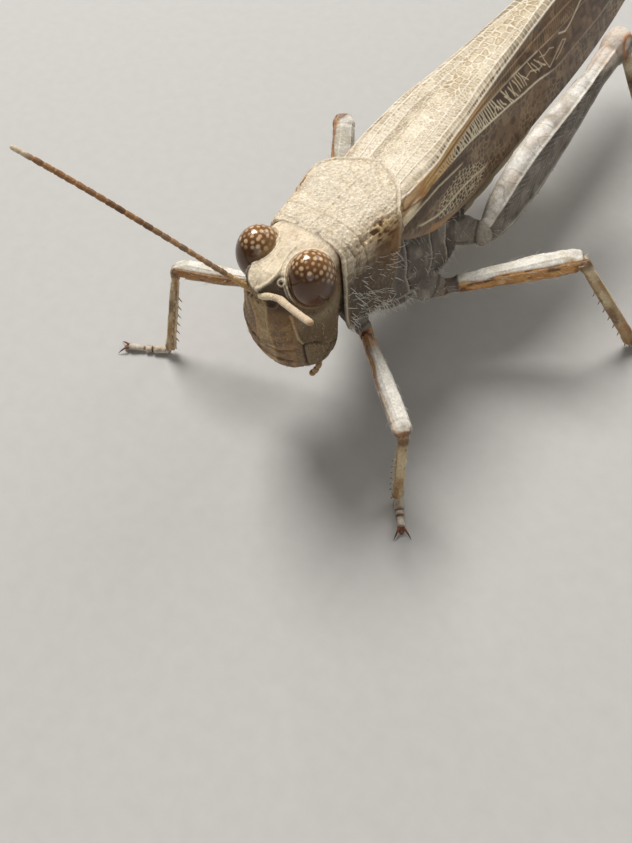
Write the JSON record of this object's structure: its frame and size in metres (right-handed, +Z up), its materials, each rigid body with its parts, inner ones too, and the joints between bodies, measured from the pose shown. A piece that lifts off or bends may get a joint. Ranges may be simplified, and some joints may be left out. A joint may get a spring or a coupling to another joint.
{
  "type": "locust",
  "caption": "Still life-size locust, a band-winged grasshopper standing with folded wings, feelers raised and one hind leg out to the side.",
  "frame": {"origin": "middle of the whole stance on the floor: the centre of the bounding box in X and Y, at its bottom, where the six feet rest", "axes": "+Z up, -Y the way the locust looks, +X its left side"},
  "size_m": [0.0226, 0.0376, 0.0156],
  "materials": {
    "head_shell": "satin, dusty beige-brown face",
    "eye": "glossy dark brown with pale spots",
    "feeler": "satin golden brown",
    "palp": "satin, pale",
    "pronotum_shell": "matt, granular sand colour",
    "body_shell": "matt, dusty grey-beige",
    "tegmen": "satin, veined sand and brown",
    "hindwing": "satin, folded membrane",
    "coxa": "matt, dusty grey-beige",
    "thigh": "satin, whitish grey",
    "shin": "satin, mottled golden brown",
    "foot": "satin, golden brown"
  },
  "bodies": {
    "root": {"head": "head_shell", "eye_left": "eye", "eye_right": "eye", "antenna_left": "feeler", "antenna_right": "feeler", "palp_left": "palp", "palp_right": "palp", "pronotum": "pronotum_shell", "thorax": "body_shell", "abdomen": "body_shell", "tegmen_left": "tegmen", "tegmen_right": "tegmen", "hindwing_left": "hindwing", "hindwing_right": "hindwing", "fore_left_coxa": "coxa", "fore_left_femur": "thigh", "fore_left_tibia": "shin", "fore_left_tarsus": "foot", "fore_right_coxa": "coxa", "fore_right_femur": "thigh", "fore_right_tibia": "shin", "fore_right_tarsus": "foot", "mid_left_coxa": "coxa", "mid_left_femur": "thigh", "mid_left_tibia": "shin", "mid_left_tarsus": "foot", "mid_right_coxa": "coxa", "mid_right_femur": "thigh", "mid_right_tibia": "shin", "mid_right_tarsus": "foot", "hind_left_coxa": "coxa", "hind_left_femur": "thigh", "hind_left_tibia": "shin", "hind_left_tarsus": "foot", "hind_right_coxa": "coxa", "hind_right_femur": "thigh", "hind_right_tibia": "shin", "hind_right_tarsus": "foot"}
  },
  "joints": []
}
